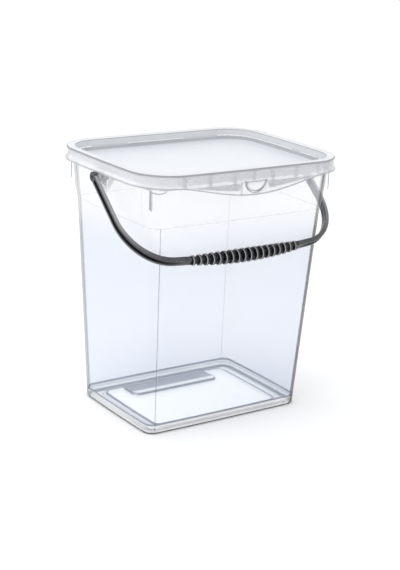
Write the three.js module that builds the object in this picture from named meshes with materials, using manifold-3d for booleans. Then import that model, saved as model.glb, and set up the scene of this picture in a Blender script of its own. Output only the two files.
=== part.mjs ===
// A clear rectangular storage tub with a milky press-on lid and a dark bail handle.
// Millimetres, +Z up. The origin is the middle of the foot, on the floor. The front is towards -Y.

import * as THREE from 'three';
import * as BufferGeometryUtils from 'three/addons/utils/BufferGeometryUtils.js';
import Module from 'manifold-3d';

const wasm = await Module();
wasm.setup();

// Overall sizes
const totalHeight = 293;
const lidHalfWidth = 129.5;
const lidHalfDepth = 102;
const lidCornerRadius = 44;
const sideBow = 1;

// Lid
const lidWall = 1.5;
const rimBand = 9.4;
const panelDepth = 13;
const recessDraft = 1.9;
const skirtHeight = 14.3;
const skirtFlare = 1.2;
const lidEdge = 0.8;
const recessFillet = 1.6;
const tabHalfWidth = 92;
const tabDrop = 13.6;
const tabFullnessShare = 0.65;
const catchHalfWidth = 14;
const catchHeight = 12.4;
const catchBelowTop = 13;
const catchRidge = 1.8;
const catchProud = 0.7;
const catchSunk = 0.5;
const beadBelowTop = 7.4;
const beadHalfHeight = 0.9;
const beadProud = 1;
const backBeadHalf = 38;
const cornerBeadStart = 85;
const cornerBeadEnd = 9;
const sideBeadStart = 25.5;
const sideBeadEnd = 54.5;
const pullTabHalfWidth = 9.5;
const pullTabDrop = 5;
const pullTabAngle = 40;

// Tub
const tubWall = 1.9;
const rimWall = 1.6;
const lidClearance = 0.4;
const rimGap = 2;
const collarInsetSide = 11.8;
const collarInsetFront = 13.7;
const collarLean = 1.7;
const collarRadius = 20;
const shoulderStep = 3.9;
const sideLean = 10.9;
const frontLean = 12.5;
const waistRadius = 13;
const footRadius = 12;
const tubBow = 0.8;
const ledgeBelowPanel = 2;
const ledgeHeight = 3;
const shoulderBelowTop = 47;
const shoulderHeight = 12;
const apronHeight = 13.6;
const apronBowShare = 0.7;
const windowBottomHalf = 21.5;
const windowTopHalf = 16.5;
const windowBelowTop = 14;
const gussetFirst = 24.5;
const gussetPitch = 31;
const gussetsPerSide = 3;
const gussetThickness = 1.3;
const finProud = 3;
const finThickness = 1.8;
const finHeight = 22;
const finRunOut = 3;
const finAngle = 35;

// Foot and floor
const footFillet = 3;
const innerFillet = 8;
const floorThickness = 2;
const panelInsetSide = 18.2;
const panelInsetFront = 13.2;
const panelRadius = 9;
const panelRise = 2.2;
const panelSlope = 1.4;
const pocketHalfWidth = 57;
const pocketLength = 30.5;
const pocketRise = 2.6;
const pocketRadius = 7;
const pocketFrontDraft = 1;

// Handle and its ears
const pivotBelowTop = 18.4;
const armGap = 1.2;
const cornerAcross = 49.6;
const cornerDown = 58;
const bendSweep = THREE.MathUtils.degToRad(84.5);
const barBow = 4;
const gripPassGap = 7.9;
const armWidth = 9.4;
const armThickness = 4.2;
const barWidth = 10;
const barThickness = 5.2;
const strapEdge = 0.9;
const grooveWidth = 4.8;
const grooveDepth = 2;
const grooveDraft = 0.5;
const eyeRadius = 5.4;
const pinRadius = 2.1;
const pinLength = 9;
const pinClearance = 0.4;
const earWall = 1.1;
const earGap = 0.8;
const earHalfWidth = 7;
const earDrop = 5.5;
const earTipHalf = 1.2;
const earPlate = 1.3;
const earPlateCount = 3;
const webThickness = 1.6;
const webDrop = 16;
const bearingDepth = 1.5;
const finCount = 18;
const finPitch = 7.86;
const finWidth = 2.8;
const gripEndRadius = 5.5;
const gripMidRadius = 7.9;
const finRound = 0.9;
const coreWidth = 7.4;
const coreThickness = 4.6;
const restGap = 0.6;

// One cutter overrun serves every cut and every lap between joined shapes.
const overrun = 1;

// Steps of the faceted curves
const cornerSteps = 7;
const sideSteps = 6;
const roundSteps = 20;
const finSteps = 14;
const filletSteps = 4;
const bendSteps = 14;

// Plans and lofts. A plan is one level seen from above: a rounded rectangle with bowed sides.
function plan(halfWidth, halfDepth, radius, bow) {
  return { halfWidth, halfDepth, radius, bow };
}

function grow(base, by) {
  return plan(base.halfWidth + by, base.halfDepth + by, base.radius + by, base.bow);
}

function between(low, high, share) {
  const mix = (name) => low[name] + (high[name] - low[name]) * share;
  return plan(mix('halfWidth'), mix('halfDepth'), mix('radius'), mix('bow'));
}

function ring(level, z) {
  const points = [];
  const flatX = level.halfWidth - level.radius;
  const flatY = level.halfDepth - level.radius;
  const signs = [[1, 1], [-1, 1], [-1, -1], [1, -1]];
  signs.forEach(([signX, signY], quarter) => {
    const start = quarter * Math.PI / 2;
    for (let i = 0; i <= cornerSteps; i++) {
      const angle = start + (Math.PI / 2) * (i / cornerSteps);
      const x = signX * flatX + level.radius * Math.cos(angle);
      const y = signY * flatY + level.radius * Math.sin(angle);
      points.push(new THREE.Vector3(x, y, z));
    }
    const from = points[points.length - 1];
    const [nextX, nextY] = signs[(quarter + 1) % signs.length];
    const end = start + Math.PI / 2;
    const to = new THREE.Vector3(
      nextX * flatX + level.radius * Math.cos(end), nextY * flatY + level.radius * Math.sin(end), z);
    const outward = new THREE.Vector3(Math.cos(end), Math.sin(end), 0);
    for (let i = 1; i < sideSteps; i++) {
      const share = i / sideSteps;
      const swell = level.bow * 4 * share * (1 - share);
      points.push(from.clone().lerp(to, share).addScaledVector(outward, swell));
    }
  });
  return points;
}

function sideQuads(rings, closed) {
  const count = rings[0].length;
  const faces = [];
  const spans = closed ? rings.length : rings.length - 1;
  for (let k = 0; k < spans; k++) {
    const here = k * count;
    const next = ((k + 1) % rings.length) * count;
    for (let i = 0; i < count; i++) {
      const j = (i + 1) % count;
      faces.push(here + i, here + j, next + j, here + i, next + j, next + i);
    }
  }
  return faces;
}

function geometryOf(points, faces) {
  const geometry = new THREE.BufferGeometry();
  geometry.setAttribute('position',
    new THREE.Float32BufferAttribute(points.flatMap((point) => point.toArray()), 3));
  geometry.setIndex(faces);
  return geometry;
}

// A skin from the axis, through every ring and back to the axis.
function loft(rings) {
  const count = rings[0].length;
  const points = rings.flat();
  const faces = sideQuads(rings, false);
  const first = points.length;
  const last = first + 1;
  const middle = (list) => new THREE.Vector3(0, 0, list[0].z);
  points.push(middle(rings[0]), middle(rings[rings.length - 1]));
  const top = (rings.length - 1) * count;
  for (let i = 0; i < count; i++) {
    const j = (i + 1) % count;
    faces.push(first, j, i, last, top + i, top + j);
  }
  return solid(geometryOf(points, faces));
}

// A closed frame: the rings run round its section and meet again.
function band(rings) {
  return solid(geometryOf(rings.flat(), sideQuads(rings, true)));
}

// Solids
function signedVolume(points, faces) {
  let sum = 0;
  const [a, b, c] = [new THREE.Vector3(), new THREE.Vector3(), new THREE.Vector3()];
  for (let i = 0; i < faces.length; i += 3) {
    a.fromArray(points, faces[i] * 3);
    b.fromArray(points, faces[i + 1] * 3);
    c.fromArray(points, faces[i + 2] * 3);
    sum += a.dot(b.cross(c));
  }
  return sum;
}

function solid(geometry) {
  const plain = geometry.clone();
  plain.deleteAttribute('normal');
  plain.deleteAttribute('uv');
  const merged = BufferGeometryUtils.mergeVertices(plain);
  const vertProperties = Float32Array.from(merged.attributes.position.array);
  const triVerts = Uint32Array.from(merged.index.array);
  if (signedVolume(vertProperties, triVerts) < 0) {
    triVerts.reverse();
  }
  return new wasm.Manifold(new wasm.Mesh({ numProp: 3, vertProperties, triVerts }));
}

function block(x0, x1, y0, y1, z0, z1) {
  const geometry = new THREE.BoxGeometry(x1 - x0, y1 - y0, z1 - z0);
  geometry.translate((x0 + x1) / 2, (y0 + y1) / 2, (z0 + z1) / 2);
  return geometry;
}

function extrude(shape, depth) {
  return new THREE.ExtrudeGeometry(shape, { depth, bevelEnabled: false, curveSegments: roundSteps });
}

// An outline drawn in X and Z, from y0 to y1.
function acrossY(shape, y0, y1) {
  const geometry = extrude(shape, y1 - y0);
  geometry.rotateX(Math.PI / 2);
  geometry.translate(0, y1, 0);
  return geometry;
}

// An outline drawn in Y and Z, from x0 to x1.
function acrossX(shape, x0, x1) {
  const geometry = extrude(shape, x1 - x0);
  geometry.rotateX(Math.PI / 2);
  geometry.rotateZ(Math.PI / 2);
  geometry.translate(x0, 0, 0);
  return geometry;
}

function rod(radius, x0, x1, z) {
  const geometry = new THREE.CylinderGeometry(radius, radius, x1 - x0, roundSteps);
  geometry.rotateZ(Math.PI / 2);
  geometry.translate((x0 + x1) / 2, 0, z);
  return geometry;
}

function polygon(points) {
  return new THREE.Shape(points.map(([x, y]) => new THREE.Vector2(x, y)));
}

function joinAll(base, additions) {
  return additions.reduce((whole, piece) => whole.add(piece), base);
}

function meshOf(name, body, material) {
  const { vertProperties, triVerts } = body.getMesh();
  const geometry = new THREE.BufferGeometry();
  geometry.setAttribute('position', new THREE.BufferAttribute(vertProperties, 3));
  geometry.setIndex(new THREE.BufferAttribute(triVerts, 1));
  geometry.computeVertexNormals();
  const mesh = new THREE.Mesh(geometry, material);
  mesh.name = name;
  return mesh;
}

// Levels and plans that the pieces share
const skirtBottom = totalHeight - skirtHeight;
const rimTop = totalHeight - lidWall - lidClearance;
const pivotHeight = totalHeight - pivotBelowTop;
const shoulderTop = totalHeight - shoulderBelowTop;
const shoulderBottom = shoulderTop - shoulderHeight;
const shoulderMid = (shoulderTop + shoulderBottom) / 2;
const ledgeTop = totalHeight - panelDepth - ledgeBelowPanel;
const ledgeBottom = ledgeTop - ledgeHeight;
const panelTop = floorThickness + panelRise;
const armOffset = lidHalfWidth + sideBow + skirtFlare + armGap + armThickness / 2;
const gripReach = lidHalfDepth + sideBow + skirtFlare + gripPassGap + gripMidRadius;
const armStraight = gripReach - barBow - cornerDown;

const lidPlan = plan(lidHalfWidth, lidHalfDepth, lidCornerRadius, sideBow);
const apronInset = lidWall + lidClearance;
const rimInset = apronInset + rimWall + rimGap;

function skirtPlan(below, inset) {
  return grow(lidPlan, skirtFlare * Math.min(below / skirtHeight, 1) - inset);
}

const rimPlan = grow(lidPlan, -rimInset);
const collarTopPlan = plan(
  lidHalfWidth - collarInsetSide, lidHalfDepth - collarInsetFront, collarRadius, sideBow);
const collarFootPlan = { ...grow(collarTopPlan, -collarLean), radius: collarRadius };
const waistPlan = { ...grow(collarFootPlan, -shoulderStep), radius: waistRadius, bow: tubBow };
const shoulderPlan = between(waistPlan, collarFootPlan, 0.5);
const footPlan = plan(
  waistPlan.halfWidth - sideLean, waistPlan.halfDepth - frontLean, footRadius, tubBow);
const floorPanelPlan = plan(
  footPlan.halfWidth - panelInsetSide, footPlan.halfDepth - panelInsetFront, panelRadius, tubBow);

function wallPlan(z) {
  return between(footPlan, waistPlan, z / shoulderBottom);
}

function collarHalfWidthAt(z) {
  const share = (z - shoulderTop) / (ledgeBottom - shoulderTop);
  return between(collarFootPlan, collarTopPlan, share).halfWidth + sideBow;
}

// How far the front tab's lower edge drops at a distance x from its middle.
function bowAt(x) {
  const share = Math.min(Math.abs(x) / tabHalfWidth, 1);
  return tabDrop * Math.pow(Math.cos(share * Math.PI / 2), 2 * tabFullnessShare);
}

function bowShape(top, bottom, dropShare) {
  const steps = 2 * roundSteps;
  const points = [];
  for (let i = 0; i <= steps; i++) {
    const x = tabHalfWidth * (2 * i / steps - 1);
    points.push([x, bottom - dropShare * bowAt(x)]);
  }
  return polygon([...points, [tabHalfWidth, top], [-tabHalfWidth, top]]);
}

// A length of skirt or apron below the straight edge, cut to the front bow.
function bowedBand(planAt, wall, edge, dropShare) {
  const outer = (below) => ring(planAt(below, 0), totalHeight - below);
  const inner = (below) => ring(planAt(below, wall), totalHeight - below);
  const top = totalHeight - edge - overrun;
  const low = edge + overrun + tabDrop;
  const start = edge - overrun;
  const frame = band([outer(start), inner(start), inner(low), outer(low)]);
  const cutter = acrossY(
    bowShape(top + 2 * overrun, totalHeight - edge, dropShare),
    -lidHalfDepth - lidCornerRadius, -lidHalfDepth + lidCornerRadius / 2);
  return frame.intersect(solid(cutter));
}

// Lid: one loft from the underside's middle, over the rim and back to the panel's middle
function lidShell() {
  const top = totalHeight;
  const recessTop = grow(lidPlan, -rimBand);
  const recessFoot = grow(recessTop, -recessDraft);
  const panelZ = top - panelDepth;
  return loft([
    ring(grow(recessFoot, lidWall - recessFillet), panelZ - lidWall),
    ring(grow(recessFoot, lidWall), panelZ - lidWall + recessFillet),
    ring(grow(recessTop, lidWall), top - lidWall),
    ring(skirtPlan(lidWall, lidWall), top - lidWall),
    ring(skirtPlan(skirtHeight, lidWall), skirtBottom),
    ring(skirtPlan(skirtHeight, 0), skirtBottom),
    ring(skirtPlan(lidEdge, 0), top - lidEdge),
    ring(grow(lidPlan, -lidEdge / 3), top - lidEdge / 3),
    ring(grow(lidPlan, -lidEdge), top),
    ring(grow(recessTop, lidEdge), top),
    ring(grow(recessTop, lidEdge / 3), top - lidEdge / 3),
    ring(recessTop, top - lidEdge),
    ring(recessFoot, panelZ + recessFillet),
    ring(grow(recessFoot, -recessFillet / 3), panelZ + recessFillet / 3),
    ring(grow(recessFoot, -recessFillet), panelZ),
  ]);
}

// The half-moon's outline, flat side up.
function catchShape(inset) {
  const top = totalHeight - catchBelowTop - inset;
  const shape = new THREE.Shape();
  const halfWidth = catchHalfWidth - inset;
  shape.moveTo(halfWidth, top);
  shape.absellipse(0, top, halfWidth, catchHeight - 2 * inset, 0, Math.PI, true);
  return shape;
}

function catchPrism(inset) {
  return solid(acrossY(catchShape(inset), -lidHalfDepth - lidCornerRadius, -lidHalfDepth / 2));
}

function skinBand(inside, outside) {
  const from = catchBelowTop - overrun;
  const to = catchBelowTop + catchHeight + overrun;
  const level = (inset, below) => ring(skirtPlan(below, inset), totalHeight - below);
  return band([level(-outside, from), level(inside, from), level(inside, to), level(-outside, to)]);
}

// The thin broken bead round the recess wall, which holds a stacked container in place.
function recessBead() {
  const z = totalHeight - beadBelowTop;
  const wall = grow(lidPlan, -rimBand - recessDraft * beadBelowTop / panelDepth);
  const root = grow(wall, lidWall / 2);
  const frame = band([
    ring(grow(wall, -beadProud), z), ring(root, z + beadHalfHeight), ring(root, z - beadHalfHeight),
  ]);
  const reach = lidHalfWidth;
  const z0 = z - 2 * beadHalfHeight;
  const z1 = z + 2 * beadHalfHeight;
  const lengths = [block(-backBeadHalf, backBeadHalf, -reach, reach, z0, z1)];
  for (const side of [-1, 1]) {
    const [near, far] = [side * cornerBeadStart, side * reach].sort((a, b) => a - b);
    lengths.push(block(near, far, -cornerBeadEnd, reach, z0, z1));
    lengths.push(block(near, far, -sideBeadEnd, -sideBeadStart, z0, z1));
  }
  return lengths.map((length) => frame.intersect(solid(length)));
}

// The small half-round pull tab under one front corner.
function pullTab() {
  const shape = new THREE.Shape();
  shape.moveTo(pullTabHalfWidth, skirtBottom + overrun);
  shape.lineTo(pullTabHalfWidth, skirtBottom);
  shape.absellipse(0, skirtBottom, pullTabHalfWidth, pullTabDrop, 0, Math.PI, true);
  shape.lineTo(-pullTabHalfWidth, skirtBottom + overrun);
  const prism = acrossY(shape, -2 * lidCornerRadius, 0);
  prism.rotateZ(-THREE.MathUtils.degToRad(pullTabAngle));
  prism.translate(lidCornerRadius - lidHalfWidth, lidCornerRadius - lidHalfDepth, 0);
  const low = skirtHeight + pullTabDrop + overrun;
  const high = skirtHeight - overrun;
  const level = (inset, below) => ring(skirtPlan(below, inset), totalHeight - below);
  const frame = band([level(0, high), level(lidWall, high), level(lidWall, low), level(0, low)]);
  return frame.intersect(solid(prism));
}

function lidBody() {
  const ridge = skinBand(lidWall / 2, catchProud).intersect(catchPrism(0).subtract(catchPrism(catchRidge)));
  const sunk = skinBand(catchSunk, overrun).intersect(catchPrism(catchRidge));
  const tab = bowedBand(skirtPlan, lidWall, skirtHeight, 1);
  return joinAll(lidShell(), [tab, pullTab(), ...recessBead()]).subtract(sunk).add(ridge);
}

// Tub
function apronPlan(below, inset) {
  return skirtPlan(below, apronInset + inset);
}

function arcRings(base, size, centreZ, from, to) {
  const rings = [];
  for (let i = 0; i <= filletSteps; i++) {
    const angle = from + (to - from) * i / filletSteps;
    rings.push(ring(grow(base, size * (Math.cos(angle) - 1)), centreZ + size * Math.sin(angle)));
  }
  return rings;
}

// The inside of the tub, from the rim down to the floor panel
function insideRings() {
  const floorPlan = grow(wallPlan(floorThickness + innerFillet), -tubWall);
  return [
    ring(grow(rimPlan, lidEdge - rimWall), rimTop),
    ring(grow(rimPlan, -rimWall), rimTop - lidEdge),
    ring(grow(rimPlan, -rimWall), ledgeTop + tubWall / 2),
    ring(grow(collarTopPlan, -tubWall), ledgeBottom + tubWall / 2),
    ring(grow(collarFootPlan, -tubWall), shoulderTop),
    ring(grow(shoulderPlan, -tubWall), shoulderMid),
    ring(grow(waistPlan, -tubWall), shoulderBottom),
    ...arcRings(floorPlan, innerFillet, floorThickness + innerFillet, 0, -Math.PI / 2),
    ring(grow(floorPanelPlan, panelSlope / 2), floorThickness),
    ring(grow(floorPanelPlan, -panelSlope / 2), panelTop),
  ];
}

// One loft from the underside's middle, up the outside, over the rim and down the inside
function tubShell() {
  const shelf = rimTop - rimWall;
  const apronBottom = totalHeight - apronHeight;
  return loft([
    ring(grow(floorPanelPlan, -panelSlope), panelTop - floorThickness),
    ring(grow(floorPanelPlan, panelSlope), 0),
    ...arcRings(wallPlan(footFillet), footFillet, footFillet, -Math.PI / 2, 0),
    ring(waistPlan, shoulderBottom),
    ring(shoulderPlan, shoulderMid),
    ring(collarFootPlan, shoulderTop),
    ring(collarTopPlan, ledgeBottom),
    ring(rimPlan, ledgeTop),
    ring(rimPlan, shelf),
    ring(apronPlan(totalHeight - shelf, rimWall), shelf),
    ring(apronPlan(apronHeight, rimWall), apronBottom),
    ring(apronPlan(apronHeight, 0), apronBottom),
    ring(apronPlan(totalHeight - rimTop + lidEdge, 0), rimTop - lidEdge),
    ring(apronPlan(totalHeight - rimTop, lidEdge), rimTop),
    ...insideRings(),
  ]);
}

// The finger pocket at the back of the foot: a ramp that rises to the front, closed at its sides.
function pocket(inset, lower) {
  const back = floorPanelPlan.halfDepth - inset;
  const front = floorPanelPlan.halfDepth - pocketLength + inset;
  const halfWidth = pocketHalfWidth - inset;
  const radius = pocketRadius - inset;
  const under = -lower;
  const frontTop = panelTop + pocketRise - lower;
  const ramp = acrossX(polygon([
    [front, under], [back, under], [back, panelTop - lower],
    [front + pocketFrontDraft, frontTop], [front, frontTop - pocketFrontDraft],
  ]), -halfWidth, halfWidth);
  const outline = new THREE.Shape();
  outline.moveTo(-halfWidth, back);
  outline.lineTo(-halfWidth, front + radius);
  outline.absarc(-halfWidth + radius, front + radius, radius, Math.PI, 1.5 * Math.PI, false);
  outline.absarc(halfWidth - radius, front + radius, radius, 1.5 * Math.PI, 2 * Math.PI, false);
  outline.lineTo(halfWidth, back);
  const prism = extrude(outline, 2 * (panelTop + pocketRise));
  prism.translate(0, 0, under - overrun);
  return solid(ramp).intersect(solid(prism));
}

// One upright fin at each corner of the collar, which stops a nested tub from jamming.
function cornerFins() {
  const inner = collarRadius - tubWall / 2;
  const outer = collarRadius + finProud;
  const shape = polygon([
    [inner, ledgeTop - finHeight - finRunOut], [outer, ledgeTop - finHeight],
    [outer, ledgeTop], [inner, ledgeTop],
  ]);
  const flatX = collarTopPlan.halfWidth - collarRadius;
  const flatY = collarTopPlan.halfDepth - collarRadius;
  const turn = THREE.MathUtils.degToRad(finAngle);
  return [turn, Math.PI - turn, Math.PI + turn, -turn].map((angle) => {
    const fin = acrossY(shape, -finThickness / 2, finThickness / 2);
    fin.rotateZ(angle);
    fin.translate(flatX * Math.sign(Math.cos(angle)), flatY * Math.sign(Math.sin(angle)), 0);
    return solid(fin);
  });
}

// Upright gussets between the rim wall and the apron, front and back.
function gussets() {
  const inner = rimPlan.halfDepth + sideBow - rimWall / 2;
  const outer = lidHalfDepth - apronInset - rimWall / 2;
  const pieces = [];
  const places = [0];
  for (let i = 0; i < gussetsPerSide; i++) {
    const x = gussetFirst + i * gussetPitch;
    places.push(x, -x);
  }
  for (const side of [-1, 1]) {
    for (const x of places) {
      const share = Math.abs(x) / lidHalfWidth;
      const swell = sideBow * (1 - share * share);
      const onWindow = side < 0 && Math.abs(x) < windowBottomHalf;
      const drop = side < 0 && !onWindow ? apronBowShare * bowAt(x) : 0;
      const bottom = totalHeight - apronHeight - drop + overrun;
      const ends = [side * inner, side * (outer + swell)].sort((a, b) => a - b);
      pieces.push(solid(block(
        x - gussetThickness / 2, x + gussetThickness / 2, ends[0], ends[1], bottom, rimTop - rimWall / 2)));
    }
  }
  return pieces;
}

function ear(side) {
  const tip = armOffset - armThickness / 2 - earGap;
  const root = collarHalfWidthAt(pivotHeight) - tubWall / 2;
  const top = skirtBottom - lidClearance;
  const bottom = pivotHeight - earDrop;
  const teardrop = new THREE.Shape();
  teardrop.moveTo(-earHalfWidth, top);
  teardrop.quadraticCurveTo(-earHalfWidth, bottom + earDrop / 2, -earTipHalf, bottom);
  teardrop.lineTo(earTipHalf, bottom);
  teardrop.quadraticCurveTo(earHalfWidth, bottom + earDrop / 2, earHalfWidth, top);
  const bossRadius = pinRadius + pinClearance + earWall;
  const step = (tip - root) / earPlateCount;
  const pieces = [solid(rod(bossRadius, root, tip, pivotHeight))];
  for (let i = 1; i <= earPlateCount; i++) {
    const end = root + i * step - earPlate * (earPlateCount - i) / earPlateCount;
    pieces.push(solid(acrossX(teardrop, end - earPlate, end)));
  }
  const low = pivotHeight - webDrop;
  const web = polygon([
    [collarHalfWidthAt(low) - tubWall / 2, low], [tip - earPlate, pivotHeight - bossRadius / 2],
    [tip - earPlate, pivotHeight], [root, pivotHeight],
  ]);
  pieces.push(solid(acrossY(web, -webThickness / 2, webThickness / 2)));
  const bore = solid(rod(
    pinRadius + pinClearance, tip - pinLength - bearingDepth, tip + overrun, pivotHeight));
  const body = joinAll(pieces[0], pieces.slice(1)).subtract(bore);
  return side > 0 ? body : body.mirror([1, 0, 0]);
}

function apronWindow() {
  const low = totalHeight - apronHeight - tabDrop - overrun;
  const high = totalHeight - windowBelowTop;
  const shape = polygon([
    [-windowBottomHalf, low], [windowBottomHalf, low], [windowTopHalf, high], [-windowTopHalf, high],
  ]);
  const back = -rimPlan.halfDepth - sideBow - rimGap / 4;
  return solid(acrossY(shape, -lidHalfDepth - skirtHeight, back));
}

function tubBody() {
  const apronBow = bowedBand(apronPlan, rimWall, apronHeight, apronBowShare);
  const shell = joinAll(tubShell(), [apronBow, pocket(0, 0).subtract(solid(block(
    -lidHalfWidth, lidHalfWidth, -lidHalfDepth, lidHalfDepth, -overrun, floorThickness / 2)))]);
  const inside = loft(insideRings());
  const outsideParts = [...cornerFins(), ear(1), ear(-1)].map((piece) => piece.subtract(inside));
  return joinAll(shell.subtract(apronWindow()), [...gussets(), ...outsideParts])
    .subtract(pocket(tubWall, floorThickness));
}

// Handle: drawn in its own plane. X runs across, -Y runs from the pins to the grip.
function handlePath() {
  const centreX = armOffset - cornerAcross;
  const endX = centreX + cornerAcross * Math.cos(bendSweep);
  const endS = armStraight + cornerDown * Math.sin(bendSweep);
  const path = [[armOffset, 0], [armOffset, armStraight / 2]];
  for (let i = 0; i <= bendSteps; i++) {
    const angle = bendSweep * i / bendSteps;
    path.push([centreX + cornerAcross * Math.cos(angle), armStraight + cornerDown * Math.sin(angle)]);
  }
  const barSteps = filletSteps * 2;
  for (let i = 1; i <= barSteps; i++) {
    const share = 1 - i / barSteps;
    path.push([endX * share, gripReach - (gripReach - endS) * share * share]);
  }
  const mirrored = path.slice(0, -1).reverse().map(([x, s]) => [-x, s]);
  return [...path, ...mirrored].map(([x, s]) => new THREE.Vector3(x, -s, 0));
}

function strapSection(width, thickness, groove) {
  const w = width / 2;
  const t = thickness / 2;
  const g = grooveWidth / 2;
  return [
    [t - strapEdge, -w], [t, strapEdge - w], [t, -g], [t - groove, grooveDraft - g],
    [t - groove, g - grooveDraft], [t, g], [t, w - strapEdge], [t - strapEdge, w],
    [strapEdge - t, w], [-t, w - strapEdge], [-t, strapEdge - w], [strapEdge - t, -w],
  ];
}

function strap() {
  const path = handlePath();
  const gripHalf = finPitch * finCount / 2;
  const fadeLength = cornerAcross / 2;
  const points = [];
  path.forEach((centre, k) => {
    const before = path[Math.max(k - 1, 0)];
    const after = path[Math.min(k + 1, path.length - 1)];
    const along = after.clone().sub(before).normalize();
    const outward = new THREE.Vector3(-along.y, along.x, 0);
    const away = Math.abs(centre.x);
    const barShare = THREE.MathUtils.smoothstep(-centre.y, armStraight, armStraight + cornerDown);
    const fade = THREE.MathUtils.smoothstep(away, gripHalf, gripHalf + fadeLength);
    const width = THREE.MathUtils.lerp(armWidth, barWidth, barShare);
    const thickness = THREE.MathUtils.lerp(armThickness, barThickness, barShare);
    const inGrip = away < gripHalf - finPitch;
    const section = strapSection(
      inGrip ? coreWidth : width, inGrip ? coreThickness : thickness,
      Math.max(grooveDepth * fade, grooveDepth / 20));
    for (const [u, w] of section) {
      points.push(centre.clone().addScaledVector(outward, u).add(new THREE.Vector3(0, 0, w)));
    }
  });
  const size = points.length / path.length;
  const rings = path.map((_, k) => points.slice(k * size, (k + 1) * size));
  const faces = sideQuads(rings, false);
  const outline = strapSection(armWidth, armThickness, grooveDepth)
    .map(([u, w]) => new THREE.Vector2(u, w));
  const cap = THREE.ShapeUtils.triangulateShape(outline, []);
  const lastRing = (rings.length - 1) * size;
  for (const [a, b, c] of cap) {
    faces.push(c, b, a, lastRing + a, lastRing + b, lastRing + c);
  }
  return solid(geometryOf(rings.flat(), faces));
}

function gripFins() {
  const fins = [];
  const path = handlePath();
  const bow = (x) => {
    const next = path.findIndex((point) => point.x <= x);
    const [a, b] = [path[next - 1], path[next]];
    return THREE.MathUtils.mapLinear(x, a.x, b.x, a.y, b.y);
  };
  for (let i = 0; i < finCount; i++) {
    const x = (i - (finCount - 1) / 2) * finPitch;
    const share = x / (finPitch * (finCount - 1) / 2);
    const radius = gripEndRadius + (gripMidRadius - gripEndRadius) * (1 - share * share);
    const half = finWidth / 2;
    const profile = [[0, -half], [radius - finRound, -half], [radius, finRound - half],
      [radius, half - finRound], [radius - finRound, half], [0, half]];
    const fin = new THREE.LatheGeometry(
      profile.map(([r, y]) => new THREE.Vector2(r, y)), finSteps);
    fin.rotateZ(Math.PI / 2);
    fin.translate(x, bow(x), 0);
    fins.push(solid(fin));
  }
  return fins;
}

function eye(side) {
  const inner = armOffset - armThickness / 2;
  const disc = rod(eyeRadius, inner, armOffset + armThickness / 2, 0);
  const pin = rod(pinRadius, inner - pinLength, armOffset, 0);
  const body = solid(disc).add(solid(pin));
  return side > 0 ? body : body.mirror([1, 0, 0]);
}

// The tilt at which a point of the handle, s from the pins and w off its plane, clears the front wall.
function tiltClearOf(s, w, halfDepth, gap) {
  const slope = frontLean / shoulderBottom;
  const limit = halfDepth + slope * pivotHeight + gap * Math.hypot(1, slope);
  const across = s - slope * w;
  const up = slope * s + w;
  return Math.atan2(up, across) + Math.acos(limit / Math.hypot(across, up));
}

// The handle hangs from its pins until its grip or the end of its bend meets the front wall.
function hangAngle() {
  const grip = tiltClearOf(gripReach, 0, footPlan.halfDepth + tubBow, gripMidRadius + restGap);
  const flatEnd = waistPlan.halfWidth - waistRadius;
  const acrossShare = (flatEnd - armOffset + cornerAcross) / cornerAcross;
  const bendInside = armStraight + cornerDown * Math.sqrt(1 - acrossShare * acrossShare) - barThickness / 2;
  const bend = tiltClearOf(bendInside, -barWidth / 2, footPlan.halfDepth, restGap);
  return Math.min(grip, bend);
}

// Materials
const clearPlastic = new THREE.MeshStandardMaterial({
  color: 0xe6edf5, roughness: 0.08, metalness: 0, transparent: true, opacity: 0.35,
});
const milkyPlastic = new THREE.MeshStandardMaterial({
  color: 0xeef2f8, roughness: 0.3, metalness: 0, transparent: true, opacity: 0.8,
});
const darkPlastic = new THREE.MeshStandardMaterial({ color: 0x3c4046, roughness: 0.35, metalness: 0 });

// Assembly
const container = new THREE.Group();
container.add(meshOf('tub', tubBody(), clearPlastic));
container.add(meshOf('lid', lidBody(), milkyPlastic));

const swing = new THREE.Group();
swing.position.set(0, 0, pivotHeight);
swing.rotation.x = hangAngle();
swing.add(meshOf('handle', joinAll(strap(), [...gripFins(), eye(1), eye(-1)]), darkPlastic));
container.add(swing);

export default container;
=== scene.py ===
import math
import bmesh
import bpy
from mathutils import Matrix, Vector


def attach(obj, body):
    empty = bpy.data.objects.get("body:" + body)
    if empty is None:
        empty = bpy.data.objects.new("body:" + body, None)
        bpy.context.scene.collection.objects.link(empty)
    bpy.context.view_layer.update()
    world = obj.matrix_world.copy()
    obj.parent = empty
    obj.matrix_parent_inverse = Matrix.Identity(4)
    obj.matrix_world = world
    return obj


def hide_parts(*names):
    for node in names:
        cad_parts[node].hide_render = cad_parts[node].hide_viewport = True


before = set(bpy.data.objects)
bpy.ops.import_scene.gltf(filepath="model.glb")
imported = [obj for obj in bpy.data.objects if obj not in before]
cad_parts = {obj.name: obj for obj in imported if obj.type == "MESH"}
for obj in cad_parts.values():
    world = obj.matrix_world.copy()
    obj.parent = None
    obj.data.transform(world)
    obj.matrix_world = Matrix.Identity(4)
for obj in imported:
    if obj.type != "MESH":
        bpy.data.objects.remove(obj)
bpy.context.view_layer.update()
scene = bpy.context.scene

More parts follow.
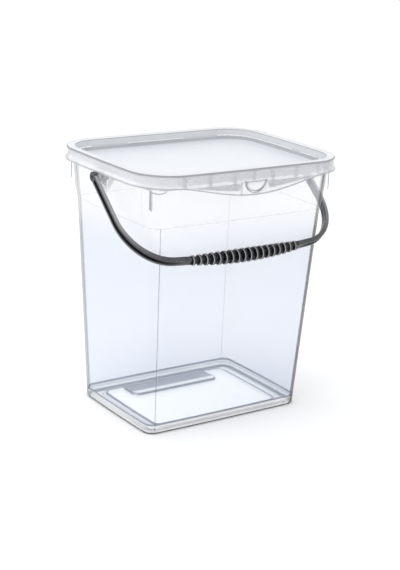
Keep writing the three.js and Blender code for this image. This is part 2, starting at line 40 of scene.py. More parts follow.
# Camera. It stands to the left of the container and a little above it, about a metre and a half away,
# with a long lens, as for a catalogue picture.
camera_place = Vector((-0.8412, -1.2068, 0.5930))
camera_target = Vector((0.0045, -0.0037, 0.1377))
camera_roll = math.radians(2.685)
picture_height = 570
focal_pixels = 1362.6
sensor = 36
nearest = 0.05
farthest = 30
camera_data = bpy.data.cameras.new("camera")
camera_data.sensor_width = sensor
camera_data.lens = focal_pixels / picture_height * sensor
camera_data.clip_start = nearest
camera_data.clip_end = farthest
camera = bpy.data.objects.new("camera", camera_data)
camera.location = camera_place
camera.rotation_mode = "QUATERNION"
look = (camera_target - camera_place).to_track_quat("-Z", "Y")
camera.rotation_quaternion = look @ Matrix.Rotation(camera_roll, 4, "Z").to_quaternion()
scene.collection.objects.link(camera)
scene.camera = camera

# Tub. One clear injection moulding of a stiff, glossy plastic, 1.9 mm thick: tapering walls, a collar
# with ears for the handle's pins, a ribbed apron under the rim, and a raised panel in the floor.
# The thin grey lines along its edges, fillets and corners are painted shade, standing in for the light that
# rounded edges bend in a clear moulding.
MM = 0.001

# Sizes are in millimetres. A plan is a half width, a half depth and a corner radius.
tub_bow = 0.8
shoulder_bottom = 234
shoulder_top = 246
rim_underside = 278.4
foot_plan = (101.2, 70.2, 12)
waist_plan = (112.1, 82.7, 13)
collar_foot_plan = (116, 86.6, 20)
collar_top_plan = (117.7, 88.3, 20)
foot_middle = 5.6
inner_fillet_top = 10
floor_plan = (91.8, 60.8, 2.5)
floor_panel_plan = (83, 57, 9)
pocket_plan = (57, 15.25, 7)
pocket_middle = 41.75
pocket_ramp_start = 34
ear_bottom_gap = 5
ear_top_gap = 0.4
gusset_first = 24.5
gusset_pitch = 31
gusset_half = 0.65
tub_crease = math.radians(30)
merge_gap = 0.01 * MM
flat_angle = math.radians(0.1)
even_weight = 100
floor_face_rise = 0.2
wall_face_level = 0.5


def smooth_piece(bm, name, crease):
    """The mesh as a piece, smooth but for the edges that are sharper than the crease angle."""
    for face in bm.faces:
        face.smooth = True
    for edge in bm.edges:
        edge.smooth = len(edge.link_faces) == 2 and edge.calc_face_angle() < crease
    mesh = bpy.data.meshes.new(name)
    bm.to_mesh(mesh)
    bm.free()
    piece = bpy.data.objects.new(name, mesh)
    scene.collection.objects.link(piece)
    weighted = piece.modifiers.new("even shading", "WEIGHTED_NORMAL")
    weighted.keep_sharp = True
    weighted.weight = even_weight
    return piece


def dressed_copy(node, name, crease):
    """A merged copy of a moulded shell, with its flat stretches as single faces."""
    bm = bmesh.new()
    bm.from_mesh(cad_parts[node].data)
    bmesh.ops.remove_doubles(bm, verts=bm.verts, dist=merge_gap)
    bmesh.ops.dissolve_limit(bm, angle_limit=flat_angle, verts=bm.verts, edges=bm.edges)
    return smooth_piece(bm, name, crease)


# Two marks on the mesh steer the looks. One tells the inner skin from the outer. The other is 0 on
# a flat wall and 1 halfway round a corner.
tub = dressed_copy("tub", "tub_shell", tub_crease)
inner_skin = tub.data.attributes.new("inner_skin", "FLOAT", "FACE")
for polygon in tub.data.polygons:
    outward = polygon.center.x * polygon.normal.x + polygon.center.y * polygon.normal.y
    floor_side = polygon.normal.z > floor_face_rise and polygon.center.z < inner_fillet_top * MM
    inner_skin.data[polygon.index].value = 1.0 if floor_side or outward < 0 else 0.0
rounding = tub.data.attributes.new("rounding", "FLOAT", "POINT")
for vertex in tub.data.vertices:
    level = vertex.normal.xy
    faced = level.normalized() if level.length > wall_face_level else Vector((0, 0))
    rounding.data[vertex.index].value = min(abs(faced.x), abs(faced.y)) * math.sqrt(2)

line_soft = 0.3


class Shade:
    """A socket of a material's nodes. Sums of such sockets and numbers add their Math nodes."""

    def __init__(self, tree, socket=None):
        self.tree = tree
        self.socket = socket

    def node(self, kind, settings=None, inputs=None, output=0):
        made = self.tree.nodes.new("ShaderNode" + kind)
        for name, value in (settings or {}).items():
            setattr(made, name, value)
        for name, value in (inputs or {}).items():
            if isinstance(value, Shade):
                self.tree.links.new(value.socket, made.inputs[name])
            else:
                made.inputs[name].default_value = value
        return Shade(self.tree, made.outputs[output])

    def math(self, operation, *values):
        return self.node("Math", {"operation": operation}, dict(enumerate((self,) + values)))

    def __add__(self, other):
        return self.math("ADD", other)

    def __sub__(self, other):
        return self.math("SUBTRACT", other)

    def __rsub__(self, other):
        return self * -1 + other

    def __mul__(self, other):
        return self.math("MULTIPLY", other)

    def __abs__(self):
        return self.math("ABSOLUTE")

    __radd__ = __add__
    __rmul__ = __mul__

    def at_most(self, most):
        return self.math("MINIMUM", most)

    def at_least(self, least):
        return self.math("MAXIMUM", least)

    def over(self, start, end):
        """0 up to start, 1 from end on, and smooth between them. It falls where start is the larger."""
        low, high, first, last = (start, end, 0.0, 1.0) if start < end else (end, start, 1.0, 0.0)
        return self.node("MapRange", {"interpolation_type": "SMOOTHSTEP"}, {
            "Value": self, "From Min": low, "From Max": high, "To Min": first, "To Max": last})

    def band(self, low, high, soft=line_soft):
        return self.over(low - soft, low) * self.over(high + soft, high)

    def line(self, half, soft=line_soft):
        return abs(self).over(half + soft, half)

    def mix(self, colour, other):
        """From colour to other as this goes from 0 to 1."""
        return self.node("Mix", {"data_type": "RGBA"}, {0: self, 6: colour, 7: other}, 2)


def plastic(name, roughness=0.5, ior=1.5):
    material = bpy.data.materials.new(name)
    material.use_nodes = True
    shader = material.node_tree.nodes["Principled BSDF"]
    shader.inputs["Roughness"].default_value = roughness
    shader.inputs["IOR"].default_value = ior
    return material, shader, Shade(material.node_tree)


def feed(shader, sockets):
    for name, value in sockets.items():
        value.tree.links.new(value.socket, shader.inputs[name])


def place_in_mm(shade):
    coordinates = shade.node("TexCoord", output="Object")
    scaled = shade.node("VectorMath", {"operation": "SCALE"}, {0: coordinates, "Scale": 1 / MM})
    return [shade.node("SeparateXYZ", inputs={0: scaled}, output=axis) for axis in "XYZ"]


def marked(shade, name):
    return shade.node("Attribute", {"attribute_name": name}, output="Fac")


def outline_distance(x, y, plan, bow=0.0):
    """How far a point is outside a rounded rectangle with bowed sides, and inside it below zero."""
    half_width, half_depth, radius = plan
    flat_x = half_width - radius
    flat_y = half_depth - radius
    across = abs(x) - flat_x - (1 - y * y * flat_y ** -2).at_least(0.0) * bow
    along = abs(y) - flat_y - (1 - x * x * flat_x ** -2).at_least(0.0) * bow
    out_x = across.at_least(0.0)
    out_y = along.at_least(0.0)
    corner = (out_x * out_x + out_y * out_y).math("SQRT")
    inside = across.math("MAXIMUM", along).at_most(0.0)
    return corner + inside - radius


# A fade is a pair of places: where a mask is 0, and where it is 1.
foot_fade = (inner_fillet_top + 1, inner_fillet_top)
floor_rim_fade = (0.4, -0.4)
floor_rise_fade = (8, 7.5)
ground_light_fade = (150, 10)
collar_fade = (shoulder_bottom - 50, shoulder_top)
front_fade = (0, -60)
front_and_back_fade = (60, 62)
side_wall_fade = (108, 110)
rounding_fade = (0.12, 0.5)
turned_slant_fade = (0.36, 0.58)
steep_slant_fade = (0.72, 0.95)
sole_fade = (2.4, 1.6)
sole_rim_fade = (-4, -3)
floor_line_fade = (7, 6)
panel_top_fade = (5, 4.4)
ramp_rim_fade = (0.0, -0.4)
ramp_start_fade = (pocket_ramp_start, pocket_ramp_start + 2)
proud_fade = (1.6, 2.0)
ear_fade = (20, 18)
fin_edge_fade = (2.3, 2.5)
side_gusset_fade = (10, 12)
apron_fade = (92.5, 93.5)
gusset_rise_fade = (262, 264)
edge_colour_fade = (0.0, 0.3)

# A line's size is its half width and the softness of its sides.
corner_line_share = 0.72
corner_line_bottom = 1
corner_line_half = 0.3
shoulder_line_half = 0.4
floor_line_half = 1.2
fillet_line_size = (1.1, 0.4)
foot_middle_size = (0.4, 0.5)
panel_line_inset = 1.2
panel_line_size = (1.2, 0.2)
panel_outer_gap = 3.2
panel_outer_size = (0.7, 0.3)
pocket_line_gap = 0.3
pocket_line_size = (0.9, 0.2)

fillet_strength = 0.75
foot_middle_strength = 0.55
floor_line_strength = 0.25
panel_strength = 0.8
panel_outer_share = 0.6
pocket_strength = 0.75
ramp_strength = 0.9
corner_strength = 0.65
back_corner_share = 0.35
collar_line_strength = 0.25
shoulder_strength = 0.28
fin_edge_strength = 0.85
fin_side_strength = 0.1
gusset_strength = 0.9
collar_edge_loss = 0.45
back_edge_strength = 0.75
front_edge_more = 0.3

wall_blue = (0.37, 0.465, 0.675, 1)
collar_white = (0.90, 0.92, 0.95, 1)
foot_white = (0.93, 0.94, 0.945, 1)
foot_band_shade = (0.77, 0.79, 0.815, 1)
edge_shade_grey = (0.05, 0.055, 0.065, 1)
painted_line_shade = (0.07, 0.075, 0.085, 1)
ramp_shade_grey = (0.44, 0.45, 0.47, 1)
rib_shade_grey = (0.16, 0.175, 0.2, 1)
ear_grey = (0.66, 0.67, 0.69, 1)

# How much the wall hides of what is behind it, and how much more each of the regions hides.
wall_opacity = 0.125
collar_opacity = 0.02
edge_opacity = 0.55
foot_opacity = 0.21
floor_opacity = 0.59
rib_opacity = 0.54
ear_opacity = 0.77
line_opacity = 0.8
most_opacity = 0.97

# The floor, the foot and the low walls glow faintly: painted light, which lifts the shade that the lid and
# the walls above cast on them.
floor_glow = (0.25, 0.252, 0.25, 1)
no_glow = (0, 0, 0, 1)
foot_light = 0.6
wall_light = 0.5

material, shader, shade = plastic("clear moulded plastic", roughness=0.05, ior=1.49)
x, y, z = place_in_mm(shade)
inner = marked(shade, "inner_skin")
rounded = marked(shade, "rounding")
slant = shade.node("LayerWeight", inputs={"Blend": 0.5}, output="Facing")
outer = 1 - inner
front = y.over(*front_fade)
in_foot = z.over(*foot_fade)
in_collar = z.over(*collar_fade)
from_floor = outline_distance(x, y, floor_plan, tub_bow)
on_floor = from_floor.over(*floor_rim_fade) * z.over(*floor_rise_fade)
floor_top = on_floor * inner
upright = 1 - on_floor
# Where the walls turn away from view they are painted darker, more so towards the front: painted shade.
turned = rounded.over(*rounding_fade) * slant.over(*turned_slant_fade)
edges = (slant.over(*steep_slant_fade) + turned).at_most(1.0)
edges = edges * upright * (1 - in_collar * collar_edge_loss)
edges = edges * (front * front_edge_more + back_edge_strength)

corner_low = foot_plan[0] - foot_plan[2] * corner_line_share
corner_high = waist_plan[0] - waist_plan[2] * corner_line_share
from_corner = abs(x) - corner_low - z * ((corner_high - corner_low) / shoulder_bottom)
corner_line = from_corner.line(corner_line_half) * abs(y).over(*front_and_back_fade) * outer
corner_line = corner_line * z.band(corner_line_bottom, shoulder_bottom)
corner_line = corner_line * (front * (1 - back_corner_share) + back_corner_share)
collar_flat = collar_foot_plan[1] - collar_foot_plan[2]
collar_line = (abs(y) - collar_flat).line(corner_line_half) * abs(x).over(*side_wall_fade) * outer
collar_line = collar_line * z.band(shoulder_bottom, rim_underside)
shoulder_line = (z - shoulder_bottom).line(shoulder_line_half) * outer
fillet_line = (z - inner_fillet_top).line(*fillet_line_size) * inner
foot_middle_line = (z - foot_middle).line(*foot_middle_size) * outer
from_foot = outline_distance(x, y, foot_plan, tub_bow)
sole_line = z.over(*sole_fade) * from_foot.over(*sole_rim_fade) * outer
floor_line = from_floor.line(floor_line_half) * z.over(*floor_line_fade) * inner
from_panel = outline_distance(x, y, floor_panel_plan, tub_bow)
panel_outer_line = (from_panel - panel_outer_gap).line(*panel_outer_size)
panel_line = (from_panel + panel_line_inset).line(*panel_line_size) + panel_outer_line * panel_outer_share
panel_line = panel_line * z.over(*panel_top_fade) * floor_top
from_pocket = outline_distance(x, y - pocket_middle, pocket_plan)
pocket_line = (from_pocket - pocket_line_gap).line(*pocket_line_size) * floor_top
# The pocket's ramp is painted grey: painted shade on its slope.
ramp = from_pocket.over(*ramp_rim_fade) * y.over(*ramp_start_fade) * floor_top

from_collar = outline_distance(x, y, collar_top_plan, tub_bow)
proud = from_collar.over(*proud_fade)
proud = proud * z.band(shoulder_top + ear_bottom_gap, rim_underside - ear_top_gap)
ears = proud * abs(y).over(*ear_fade)
fin_share = from_collar.over(*fin_edge_fade) * fin_edge_strength + fin_side_strength
fins = proud * abs(y).over(*front_and_back_fade) * fin_share
half_pitch = gusset_pitch / 2
from_gusset = (abs(x) - gusset_first + half_pitch).math("FLOORED_MODULO", gusset_pitch) - half_pitch
gussets = from_gusset.line(gusset_half) * abs(x).over(*side_gusset_fade)
gussets = (gussets + x.line(gusset_half)).at_most(1.0)
gussets = gussets * abs(y).over(*apron_fade) * z.over(*gusset_rise_fade)
# The ear fins' outer edges and the apron's gussets are painted grey: painted shade, as for the edge lines.
ribs = (fins + gussets * gusset_strength).at_most(1.0)

# The lines are painted shade, drawn where the moulding's rounded edges and fillets would bend the light.
lines = fillet_line * fillet_strength + sole_line + floor_line * floor_line_strength
lines = lines + panel_line * panel_strength + pocket_line * pocket_strength
lines = lines + corner_line * corner_strength + collar_line * collar_line_strength
lines = lines + foot_middle_line * foot_middle_strength + shoulder_line * shoulder_strength
lines = lines.at_most(1.0)
colour = in_collar.mix(wall_blue, collar_white)
# The upright band of the foot is painted grey: painted shade of its thick fillet.
colour = in_foot.mix(colour, upright.mix(foot_white, foot_band_shade))
colour = edges.over(*edge_colour_fade).mix(colour, edge_shade_grey)
colour = (ramp * ramp_strength).mix(colour, ramp_shade_grey)
colour = ribs.mix(colour, rib_shade_grey)
colour = ears.mix(colour, ear_grey)
colour = lines.mix(colour, painted_line_shade)
alpha = wall_opacity + in_collar * collar_opacity + edges * edge_opacity
alpha = alpha + in_foot * upright * foot_opacity + floor_top * floor_opacity
alpha = alpha + ribs * rib_opacity + ears * ear_opacity + lines * line_opacity
# Painted light: the low parts glow to lift their shade.
near_ground = z.over(*ground_light_fade) * (1 - in_foot)
lit = floor_top + in_foot * upright * foot_light + near_ground * wall_light
glow = (lit * (1 - lines) * (1 - ramp) * (1 - edges)).mix(no_glow, floor_glow)
shader.inputs["Emission Strength"].default_value = 1.0
feed(shader, {"Base Color": colour, "Alpha": alpha.at_most(most_opacity), "Emission Color": glow})
tub.data.materials.append(material)
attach(tub, "tub")
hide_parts("tub")

# Lid. One milky injection moulding, softer than the tub: a flat rim that flares over the tub's rim,
# a sunk panel with a broken bead round its wall, and a bowed front tab with a half-moon catch. It is
# pressed on over the tub's rim, and a small pull tab at one front corner starts it off.
lid_top = 293
lid_plan = (129.5, 102, 44)
lid_bow = 1
rim_band = 9.4
recess_plan = tuple(size - rim_band for size in lid_plan)
panel_level = lid_top - 13
bead_level = lid_top - 7.4
bead_half = 0.8
skirt_bottom = lid_top - 14.3
tab_half_width = 92
tab_drop = 13.6
tab_power = 1.3
catch_half_width = 14
catch_height = 12.4
catch_top = lid_top - 13
catch_ridge = 1.8
slit_place = -18.2
pull_tab_half = 9.5
pull_tab_drop = 5
pull_tab_angle = math.radians(40)
lid_crease = math.radians(50)

rim_top_fade = (lid_top - 0.9, lid_top - 0.4)
rim_inner_fade = (-0.4, 0.2)
recess_fade = (1.0, 0.4)
sunk_panel_fade = (panel_level + 1.4, panel_level + 0.4)
bead_shade_fade = (bead_level + 0.3, bead_level - 0.3)
bead_proud_fade = (-1.2, -1.5)
rim_edge_fade = (-1.5, -1.1)
rim_edge_rise_fade = (lid_top - 2.2, lid_top - 1.6)
inner_edge_fade = (lid_top - 1.5, lid_top - 1)
sunk_line_fade = (panel_level + 3, panel_level + 2)
tab_front_fade = (-60, -62)
skirt_fade = (4, 6)
catch_front_fade = (-99, -100)
catch_top_fade = (catch_top + 0.8, catch_top + 0.3)
catch_side_fade = (catch_half_width, catch_half_width - 1)
pull_tab_side_fade = (pull_tab_half, pull_tab_half - 0.5)
pull_tab_corner_fade = (0, -1)
beside_tab_fade = (tab_half_width - 10, tab_half_width + 20)

inner_line_half = 0.35
sunk_line_inset = 2.8
sunk_line_half = 0.5
lower_line_rise = 0.3
lower_line_half = 0.6
pull_line_half = 0.5
catch_line_size = (0.025, 0.02)
catch_ring_soft = 0.02
catch_bar_drop = 0.6
catch_bar_half = 0.35
slit_half = 0.25

rim_strength = 0.75
inner_strength = 0.45
sunk_strength = 0.2
lower_strength = 0.6
catch_strength = 0.75
catch_bar_strength = 0.6
slit_strength = 0.6
pull_strength = 0.7

rim_white = (0.72, 0.74, 0.775, 1)
skirt_grey = (0.84, 0.86, 0.895, 1)
recess_wall_shade = (0.65, 0.67, 0.695, 1)
recess_shade = (0.50, 0.52, 0.545, 1)
panel_white = (0.74, 0.765, 0.805, 1)
ridge_highlight_white = (0.98, 0.985, 0.99, 1)
lid_line_shade = (0.12, 0.13, 0.14, 1)
skirt_opacity = 0.3
thick_opacity = 0.54
lid_line_opacity = 0.9
skirt_glow = (0.05, 0.05, 0.055, 1)
corner_glow = (0.13, 0.13, 0.135, 1)
satin_scale = 900.0
satin_detail = 3.0
satin_strength = 0.05
satin_height = 0.3 * MM

lid = dressed_copy("lid", "lid_shell", lid_crease)
material, shader, shade = plastic("milky moulded plastic", roughness=0.3)
x, y, z = place_in_mm(shade)
from_edge = outline_distance(x, y, lid_plan, lid_bow)
from_recess = outline_distance(x, y, recess_plan, lid_bow)
on_rim = z.over(*rim_top_fade) * from_recess.over(*rim_inner_fade)
in_recess = from_recess.over(*recess_fade)
on_panel = in_recess * z.over(*sunk_panel_fade)
recess_wall = in_recess * (1 - on_panel)
below_bead = z.over(*bead_shade_fade)
bead = recess_wall * (z - bead_level).line(bead_half) * from_recess.over(*bead_proud_fade)
rim_line = from_edge.over(*rim_edge_fade) * z.over(*rim_edge_rise_fade)
inner_line = from_recess.line(inner_line_half) * z.over(*inner_edge_fade)
sunk_line = (from_recess + sunk_line_inset).line(sunk_line_half) * z.over(*sunk_line_fade)

bow_share = (abs(x) * (1 / tab_half_width)).at_most(1.0)
bow = (bow_share * (math.pi / 2)).math("COSINE").at_least(0.0).math("POWER", tab_power) * tab_drop
from_lower = z + bow * y.over(*tab_front_fade) - skirt_bottom - lower_line_rise
lower_line = from_lower.line(lower_line_half) * from_recess.over(*skirt_fade)
catch_across = x * (1 / catch_half_width)
catch_down = (catch_top - z) * (1 / catch_height)
catch_round = (catch_across * catch_across + catch_down * catch_down).math("SQRT")
catch_inner = 1 - catch_ridge / catch_height
in_catch = y.over(*catch_front_fade) * z.over(*catch_top_fade)
catch_line = (catch_round - 1).line(*catch_line_size) + (catch_round - catch_inner).line(*catch_line_size)
catch_line = catch_line * in_catch
catch_ring = in_catch * catch_round.band(catch_inner, 1, catch_ring_soft)
catch_bar = (z - catch_top + catch_bar_drop).line(catch_bar_half) * abs(x).over(*catch_side_fade) * in_catch
slit = (x - slit_place).line(slit_half) * in_catch
from_tab_x = x - (lid_plan[2] - lid_plan[0])
from_tab_y = y - (lid_plan[2] - lid_plan[1])
beside_tab = from_tab_x * math.cos(pull_tab_angle) - from_tab_y * math.sin(pull_tab_angle)
tab_hang = (1 - beside_tab * beside_tab * pull_tab_half ** -2).at_least(0.0).math("SQRT") * pull_tab_drop
from_pull = z + tab_hang - skirt_bottom - lower_line_rise
pull_line = from_pull.line(pull_line_half) * abs(beside_tab).over(*pull_tab_side_fade)
pull_line = pull_line * from_tab_x.over(*pull_tab_corner_fade) * from_tab_y.over(*pull_tab_corner_fade)

# The dark lines at the lid's edges, the catch, the slit and the pull tab are painted shade.
lines = rim_line * rim_strength + inner_line * inner_strength + sunk_line * sunk_strength
lines = lines + lower_line * lower_strength + catch_line * catch_strength
lines = lines + catch_bar * catch_bar_strength + slit * slit_strength + pull_line * pull_strength
lines = lines.at_most(1.0)
colour = on_rim.mix(skirt_grey, rim_white)
# The recess wall is painted grey, darker below the bead: painted shade.
colour = recess_wall.mix(colour, below_bead.mix(recess_wall_shade, recess_shade))
colour = on_panel.mix(colour, panel_white)
# The bead and the catch's ridge are painted near white: a painted highlight.
colour = (bead + catch_ring).mix(colour, ridge_highlight_white)
colour = lines.mix(colour, lid_line_shade)
alpha = skirt_opacity + (on_rim + on_panel + recess_wall) * thick_opacity + lines * lid_line_opacity
# The skirt glows faintly, more towards its corners: painted light.
skirt = (1 - on_rim) * (1 - in_recess) * (1 - lines)
glow = skirt.mix(no_glow, abs(x).over(*beside_tab_fade).mix(skirt_glow, corner_glow))
coordinates = shade.node("TexCoord", output="Object")
grain = shade.node("TexNoise", output="Fac", inputs={
    "Vector": coordinates, "Scale": satin_scale, "Detail": satin_detail})
satin = shade.node("Bump", output="Normal", inputs={
    "Height": grain, "Strength": satin_strength, "Distance": satin_height})
shader.inputs["Emission Strength"].default_value = 1.0
feed(shader, {
    "Base Color": colour,
    "Alpha": alpha.at_most(1.0),
    "Emission Color": glow,
    "Normal": satin,
})
lid.data.materials.append(material)
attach(lid, "lid")
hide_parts("lid")

# Handle. One dark grey moulding that snaps into the tub's ears by a short pin at each end: a strap,
# channelled on its outside, bent into a bail, with a barrel-shaped grip of thin round fins.
pivot_height = 274.6
arm_offset = 135
grip_reach = 120
bar_bow = 4
bend_across = 49.6
bend_down = 58
bend_sweep = math.radians(84.5)
arm_width = 9.4
arm_thickness = 4.2
bar_width = 10
bar_thickness = 5.2
strap_edge = 0.9
groove_width = 4.8
groove_depth = 2
groove_draft = 0.5
groove_least = 0.1
core_width = 7.4
core_thickness = 4.6
core_fade_shares = (0.75, 0.25)
eye_radius = 5.4
pin_radius = 2.1
pin_length = 9
round_bar_edge = 0.5
fin_count = 18
fin_pitch = 7.86
fin_width = 2.8
fin_round = 0.9
grip_end_radius = 5.5
grip_mid_radius = 7.9
grip_half = fin_pitch * fin_count / 2
arm_straight = grip_reach - bar_bow - bend_down
bend_centre = arm_offset - bend_across
bend_end_x = bend_centre + bend_across * math.cos(bend_sweep)
bend_end_reach = arm_straight + bend_down * math.sin(bend_sweep)
bend_steps = 36
bar_steps = 30
strap_edge_steps = 4
fin_turns = 40
fin_round_steps = 3
round_bar_turns = 40
round_bar_edge_steps = 3
handle_crease = math.radians(32)
handle_merge_gap = 0.001 * MM


def hang_angle():
    """The tilt of the hanging handle, from the way its own points lie about the pins."""
    across = up = both = 0.0
    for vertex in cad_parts["handle"].data.vertices:
        rise = vertex.co.z - pivot_height * MM
        across += vertex.co.y ** 2
        up += rise ** 2
        both += vertex.co.y * rise
    return math.atan2(2 * both, across - up) / 2


def bar_reach(place):
    """How far the bar's middle line is from the pins, at a place along the width."""
    return grip_reach - (grip_reach - bend_end_reach) * (place / bend_end_x) ** 2


def bail_stations():
    """Places along one half of the bail, from a pin to the middle of the grip, with their reach."""
    turns = [bend_sweep * i / bend_steps for i in range(bend_steps + 1)]
    bend = [(bend_centre + bend_across * math.cos(turn), arm_straight + bend_down * math.sin(turn))
            for turn in turns]
    bar_places = [bend_end_x * (1 - i / bar_steps) for i in range(1, bar_steps + 1)]
    bar = [(place, bar_reach(place)) for place in bar_places]
    return [(arm_offset, 0), (arm_offset, arm_straight / 2)] + bend + bar


def smooth_share(value, low, high):
    share = min(max((value - low) / (high - low), 0), 1)
    return share * share * (3 - 2 * share)


def strap_section(bm, channel, lip, side_face):
    """The strap's section with its outer corners rounded and its regions marked."""
    t, w, g = arm_thickness / 2, arm_width / 2, groove_width / 2
    groove_floor = [(t - groove_depth, groove_draft - g), (t - groove_depth, g - groove_draft)]
    corners = [(t, -w), (t, -g)] + groove_floor + [(t, g), (t, w), (-t, w), (-t, -w)]
    section = [bm.verts.new((u * MM, 0, v * MM)) for u, v in corners]
    for vert in section[2:4]:
        vert[channel] = 1.0
    bm.faces.new(section)
    outer_corners = section[:1] + section[5:]
    bmesh.ops.bevel(bm, geom=outer_corners, affect="VERTICES", offset=strap_edge * MM,
                    segments=strap_edge_steps, profile=0.5, material=-1)
    for vert in bm.verts:
        if vert.co.x > (t - strap_edge / 2) * MM and vert.co.z < 0:
            vert[lip] = 1.0
        if vert.co.z > (w - strap_edge / 2) * MM:
            vert[side_face] = 1.0


def strap(bm, channel, lip, side_face):
    """The channelled strap: its section, swept from one pin round to the other."""
    strap_section(bm, channel, lip, side_face)
    half = bail_stations()
    path = half + [(-px, reach) for px, reach in reversed(half[:-1])]
    core_fade = [grip_half - fin_pitch * share for share in core_fade_shares]
    moved = list(bm.verts)
    faces = list(bm.faces)
    before = Matrix.Identity(4)
    floor_rise = 0.0
    for k, (px, reach) in enumerate(path):
        last_x, last_reach = path[max(k - 1, 0)]
        next_x, next_reach = path[min(k + 1, len(path) - 1)]
        along = Vector((next_x - last_x, last_reach - next_reach, 0)).normalized()
        outward = Vector((-along.y, along.x, 0))
        away = abs(px)
        share = smooth_share(reach, arm_straight, arm_straight + bend_down)
        core = 1 - smooth_share(away, *core_fade)
        groove = smooth_share(away, grip_half, grip_half + bend_across / 2)
        width = arm_width + (bar_width - arm_width) * share
        width += (core_width - width) * core
        thickness = arm_thickness + (bar_thickness - arm_thickness) * share
        thickness += (core_thickness - thickness) * core
        turn = Matrix((outward, along, Vector((0, 0, 1)))).transposed().to_4x4()
        scale = Matrix.Diagonal((thickness / arm_thickness, 1, width / arm_width, 1))
        here = Matrix.Translation(Vector((px, -reach, 0)) * MM) @ turn @ scale
        if k > 0:
            made = bmesh.ops.extrude_face_region(bm, geom=faces)["geom"]
            moved = [item for item in made if isinstance(item, bmesh.types.BMVert)]
            faces = [item for item in made if isinstance(item, bmesh.types.BMFace)]
        bmesh.ops.transform(bm, matrix=here @ before.inverted(), verts=moved)
        rise = (1 - groove) * (groove_depth - groove_least) * MM
        floor_verts = [vert for vert in moved if vert[channel] > 0.5]
        bmesh.ops.translate(bm, vec=here.to_3x3() @ Vector((rise - floor_rise, 0, 0)), verts=floor_verts)
        floor_rise = rise
        before = here


def grip_fin(bm, place, fin_rim, fin_crown):
    """One round fin of the grip, spun about the bar, with its left rim marked for a painted highlight and
    its right crown for painted shade.
    """
    share = place / (grip_half - fin_pitch / 2)
    radius = grip_end_radius + (grip_mid_radius - grip_end_radius) * (1 - share * share)
    half = fin_width / 2
    hub = Vector((place, -bar_reach(place), 0)) * MM
    turns = [math.pi / 2 * step / fin_round_steps for step in range(1, fin_round_steps + 1)]
    rim = [(-half, 0), (-half, radius - fin_round)]
    rim += [(-half + fin_round * (1 - math.cos(turn)), radius - fin_round + fin_round * math.sin(turn))
            for turn in turns]
    left_rounding = range(2, 1 + fin_round_steps)
    right_crown = len(rim)
    rim += [(-u, r) for u, r in reversed(rim)]
    profile = [bm.verts.new(hub + Vector((u, r, 0)) * MM) for u, r in rim]
    for at in left_rounding:
        profile[at][fin_rim] = 1.0
    profile[right_crown][fin_crown] = 1.0
    edges = [bm.edges.new(pair) for pair in zip(profile, profile[1:])]
    bmesh.ops.spin(bm, geom=profile + edges, cent=hub, axis=(1, 0, 0), angle=2 * math.pi,
                   steps=fin_turns, use_merge=True)


def round_bar(bm, radius, length, middle):
    """A short round bar across the bail, with eased rims: an arm's end disc, or its pin."""
    place = Matrix.Translation(Vector((middle, 0, 0)) * MM) @ Matrix.Rotation(math.pi / 2, 4, "Y")
    bar = bmesh.ops.create_cone(bm, cap_ends=True, segments=round_bar_turns, radius1=radius * MM,
                                radius2=radius * MM, depth=length * MM, matrix=place)
    each_once = dict.fromkeys(edge for vert in bar["verts"] for edge in vert.link_edges)
    rims = [edge for edge in each_once if abs(edge.verts[0].co.x - edge.verts[1].co.x) < merge_gap]
    bmesh.ops.bevel(bm, geom=rims, affect="EDGES", offset=round_bar_edge * MM,
                    segments=round_bar_edge_steps, profile=0.5, material=-1)


bm = bmesh.new()
channel = bm.verts.layers.float.new("channel")
lip = bm.verts.layers.float.new("lip")
side_face = bm.verts.layers.float.new("side_face")
fin_rim = bm.verts.layers.float.new("fin_rim")
fin_crown = bm.verts.layers.float.new("fin_crown")
strap(bm, channel, lip, side_face)
for i in range(fin_count):
    grip_fin(bm, (i - (fin_count - 1) / 2) * fin_pitch, fin_rim, fin_crown)
for side in (-1, 1):
    round_bar(bm, eye_radius, arm_thickness, side * arm_offset)
    round_bar(bm, pin_radius, pin_length + arm_thickness, side * (arm_offset - pin_length / 2))
bmesh.ops.remove_doubles(bm, verts=bm.verts, dist=handle_merge_gap)
bmesh.ops.recalc_face_normals(bm, faces=bm.faces)
hung = Matrix.Translation((0, 0, pivot_height * MM)) @ Matrix.Rotation(hang_angle(), 4, "X")
bmesh.ops.transform(bm, matrix=hung, verts=bm.verts)
handle = smooth_piece(bm, "bail_handle", handle_crease)

handle_shade_black = (0.010, 0.011, 0.013, 1)
handle_grey = (0.055, 0.057, 0.063, 1)
handle_light = (0.076, 0.079, 0.086, 1)
lip_highlight_grey = (0.15, 0.155, 0.165, 1)
painted_top_light = (0.30, 0.306, 0.32, 1)
fin_highlight = (0.40, 0.405, 0.415, 1)
fin_crown_shade = (0.045, 0.047, 0.052, 1)
arm_fade = (bend_centre, arm_offset - bend_across / 4)
arm_top_fade = (195, 245)
grip_fade = (grip_half + 0.3, grip_half - 0.3)
mottle_fade = (0.3, 0.7)
side_face_fade = (0.75, 0.98)
side_edge_fade = (0.15, 0.5)
side_edge_strength = 0.95
lip_fade = (0.6, 0.95)
channel_fade = (0.15, 0.6)
channel_arm_fade = (0, 0.8)
fin_crown_fade = (0.2, 0.7)
fin_rim_fade = (0.35, 0.7)
mottle_scale = 60.0
mottle_detail = 4.0
grain_scale = 1400.0
grain_detail = 2.0
grain_strength = 0.1
grain_height = 0.3 * MM
least_roughness = 0.2
mottle_roughness = 0.12
handle_specular = 0.3

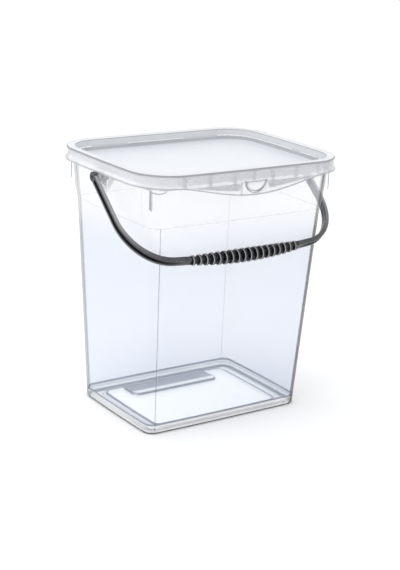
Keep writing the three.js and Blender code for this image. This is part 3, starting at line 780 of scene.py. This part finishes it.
material, shader, shade = plastic("dark moulded plastic")
shader.inputs["Specular IOR Level"].default_value = handle_specular
x, y, z = place_in_mm(shade)
coordinates = shade.node("TexCoord", output="Object")
mottle = shade.node("TexNoise", output="Fac", inputs={
    "Vector": coordinates, "Scale": mottle_scale, "Detail": mottle_detail})
fine = shade.node("TexNoise", output="Fac", inputs={
    "Vector": coordinates, "Scale": grain_scale, "Detail": grain_detail})
grainy = shade.node("Bump", output="Normal", inputs={
    "Height": fine, "Strength": grain_strength, "Distance": grain_height})
on_side = marked(shade, "side_face")
on_arm = abs(x).over(*arm_fade)
in_channel = marked(shade, "channel").over(*channel_fade) * on_arm.over(*channel_arm_fade)
bar_colour = mottle.over(*mottle_fade).mix(handle_grey, handle_light)
# The arms' side faces are painted lighter towards the top: a painted highlight.
side_colour = (z.over(*arm_top_fade) * on_arm).mix(bar_colour, painted_top_light)
# Black is painted shade: in the arms' channel, along the strap's edges and between the grip's fins.
side_edge = (1 - abs(on_side - 0.5) * 2).over(*side_edge_fade) * side_edge_strength
colour = on_side.over(*side_face_fade).mix(bar_colour, side_colour)
colour = side_edge.mix(colour, handle_shade_black)
# One lip of the channel is painted lighter: a painted highlight.
colour = marked(shade, "lip").over(*lip_fade).mix(colour, lip_highlight_grey)
colour = in_channel.mix(colour, handle_shade_black)
colour = abs(x).over(*grip_fade).mix(colour, handle_shade_black)
# The fins' right crowns are painted darker: painted shade.
colour = marked(shade, "fin_crown").over(*fin_crown_fade).mix(colour, fin_crown_shade)
# The fins' left rims are painted light: a painted highlight.
colour = marked(shade, "fin_rim").over(*fin_rim_fade).mix(colour, fin_highlight)
feed(shader, {
    "Base Color": colour,
    "Roughness": mottle * mottle_roughness + least_roughness,
    "Normal": grainy,
})
handle.data.materials.append(material)
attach(handle, "handle")
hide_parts("handle")

# Studio. A broad, flat board painted white that the container stands on, under an even white sky and
# one soft light from above, a little to the left. Its sizes are in metres.
board_half = 6
board_white = (0.97, 0.97, 0.97, 1)
sky_white = (1, 1, 1, 1)
sky_strength = 1.03
softbox_width = 1.4
softbox_depth = 1.0
softbox_watts = 8
softbox_place = Vector((-0.4, 0.1, 1.6))
softbox_target = Vector((0, 0, 0.15))
most_clear_layers = 32
bm = bmesh.new()
bmesh.ops.create_grid(bm, x_segments=1, y_segments=1, size=board_half)
mesh = bpy.data.meshes.new("floor")
bm.to_mesh(mesh)
bm.free()
floor = bpy.data.objects.new("floor", mesh)
scene.collection.objects.link(floor)
material, shader, shade = plastic("white board", roughness=0.9)
shader.inputs["Base Color"].default_value = board_white
floor.data.materials.append(material)

world = bpy.data.worlds.new("studio")
world.use_nodes = True
background = world.node_tree.nodes["Background"]
background.inputs["Color"].default_value = sky_white
background.inputs["Strength"].default_value = sky_strength
scene.world = world
softbox = bpy.data.lights.new("softbox", "AREA")
softbox.shape = "RECTANGLE"
softbox.size = softbox_width
softbox.size_y = softbox_depth
softbox.energy = softbox_watts
lamp = bpy.data.objects.new("softbox", softbox)
lamp.location = softbox_place
lamp.rotation_euler = (softbox_target - softbox_place).to_track_quat("-Z", "Y").to_euler()
scene.collection.objects.link(lamp)
scene.view_settings.view_transform = "Standard"
scene.cycles.transparent_max_bounces = most_clear_layers
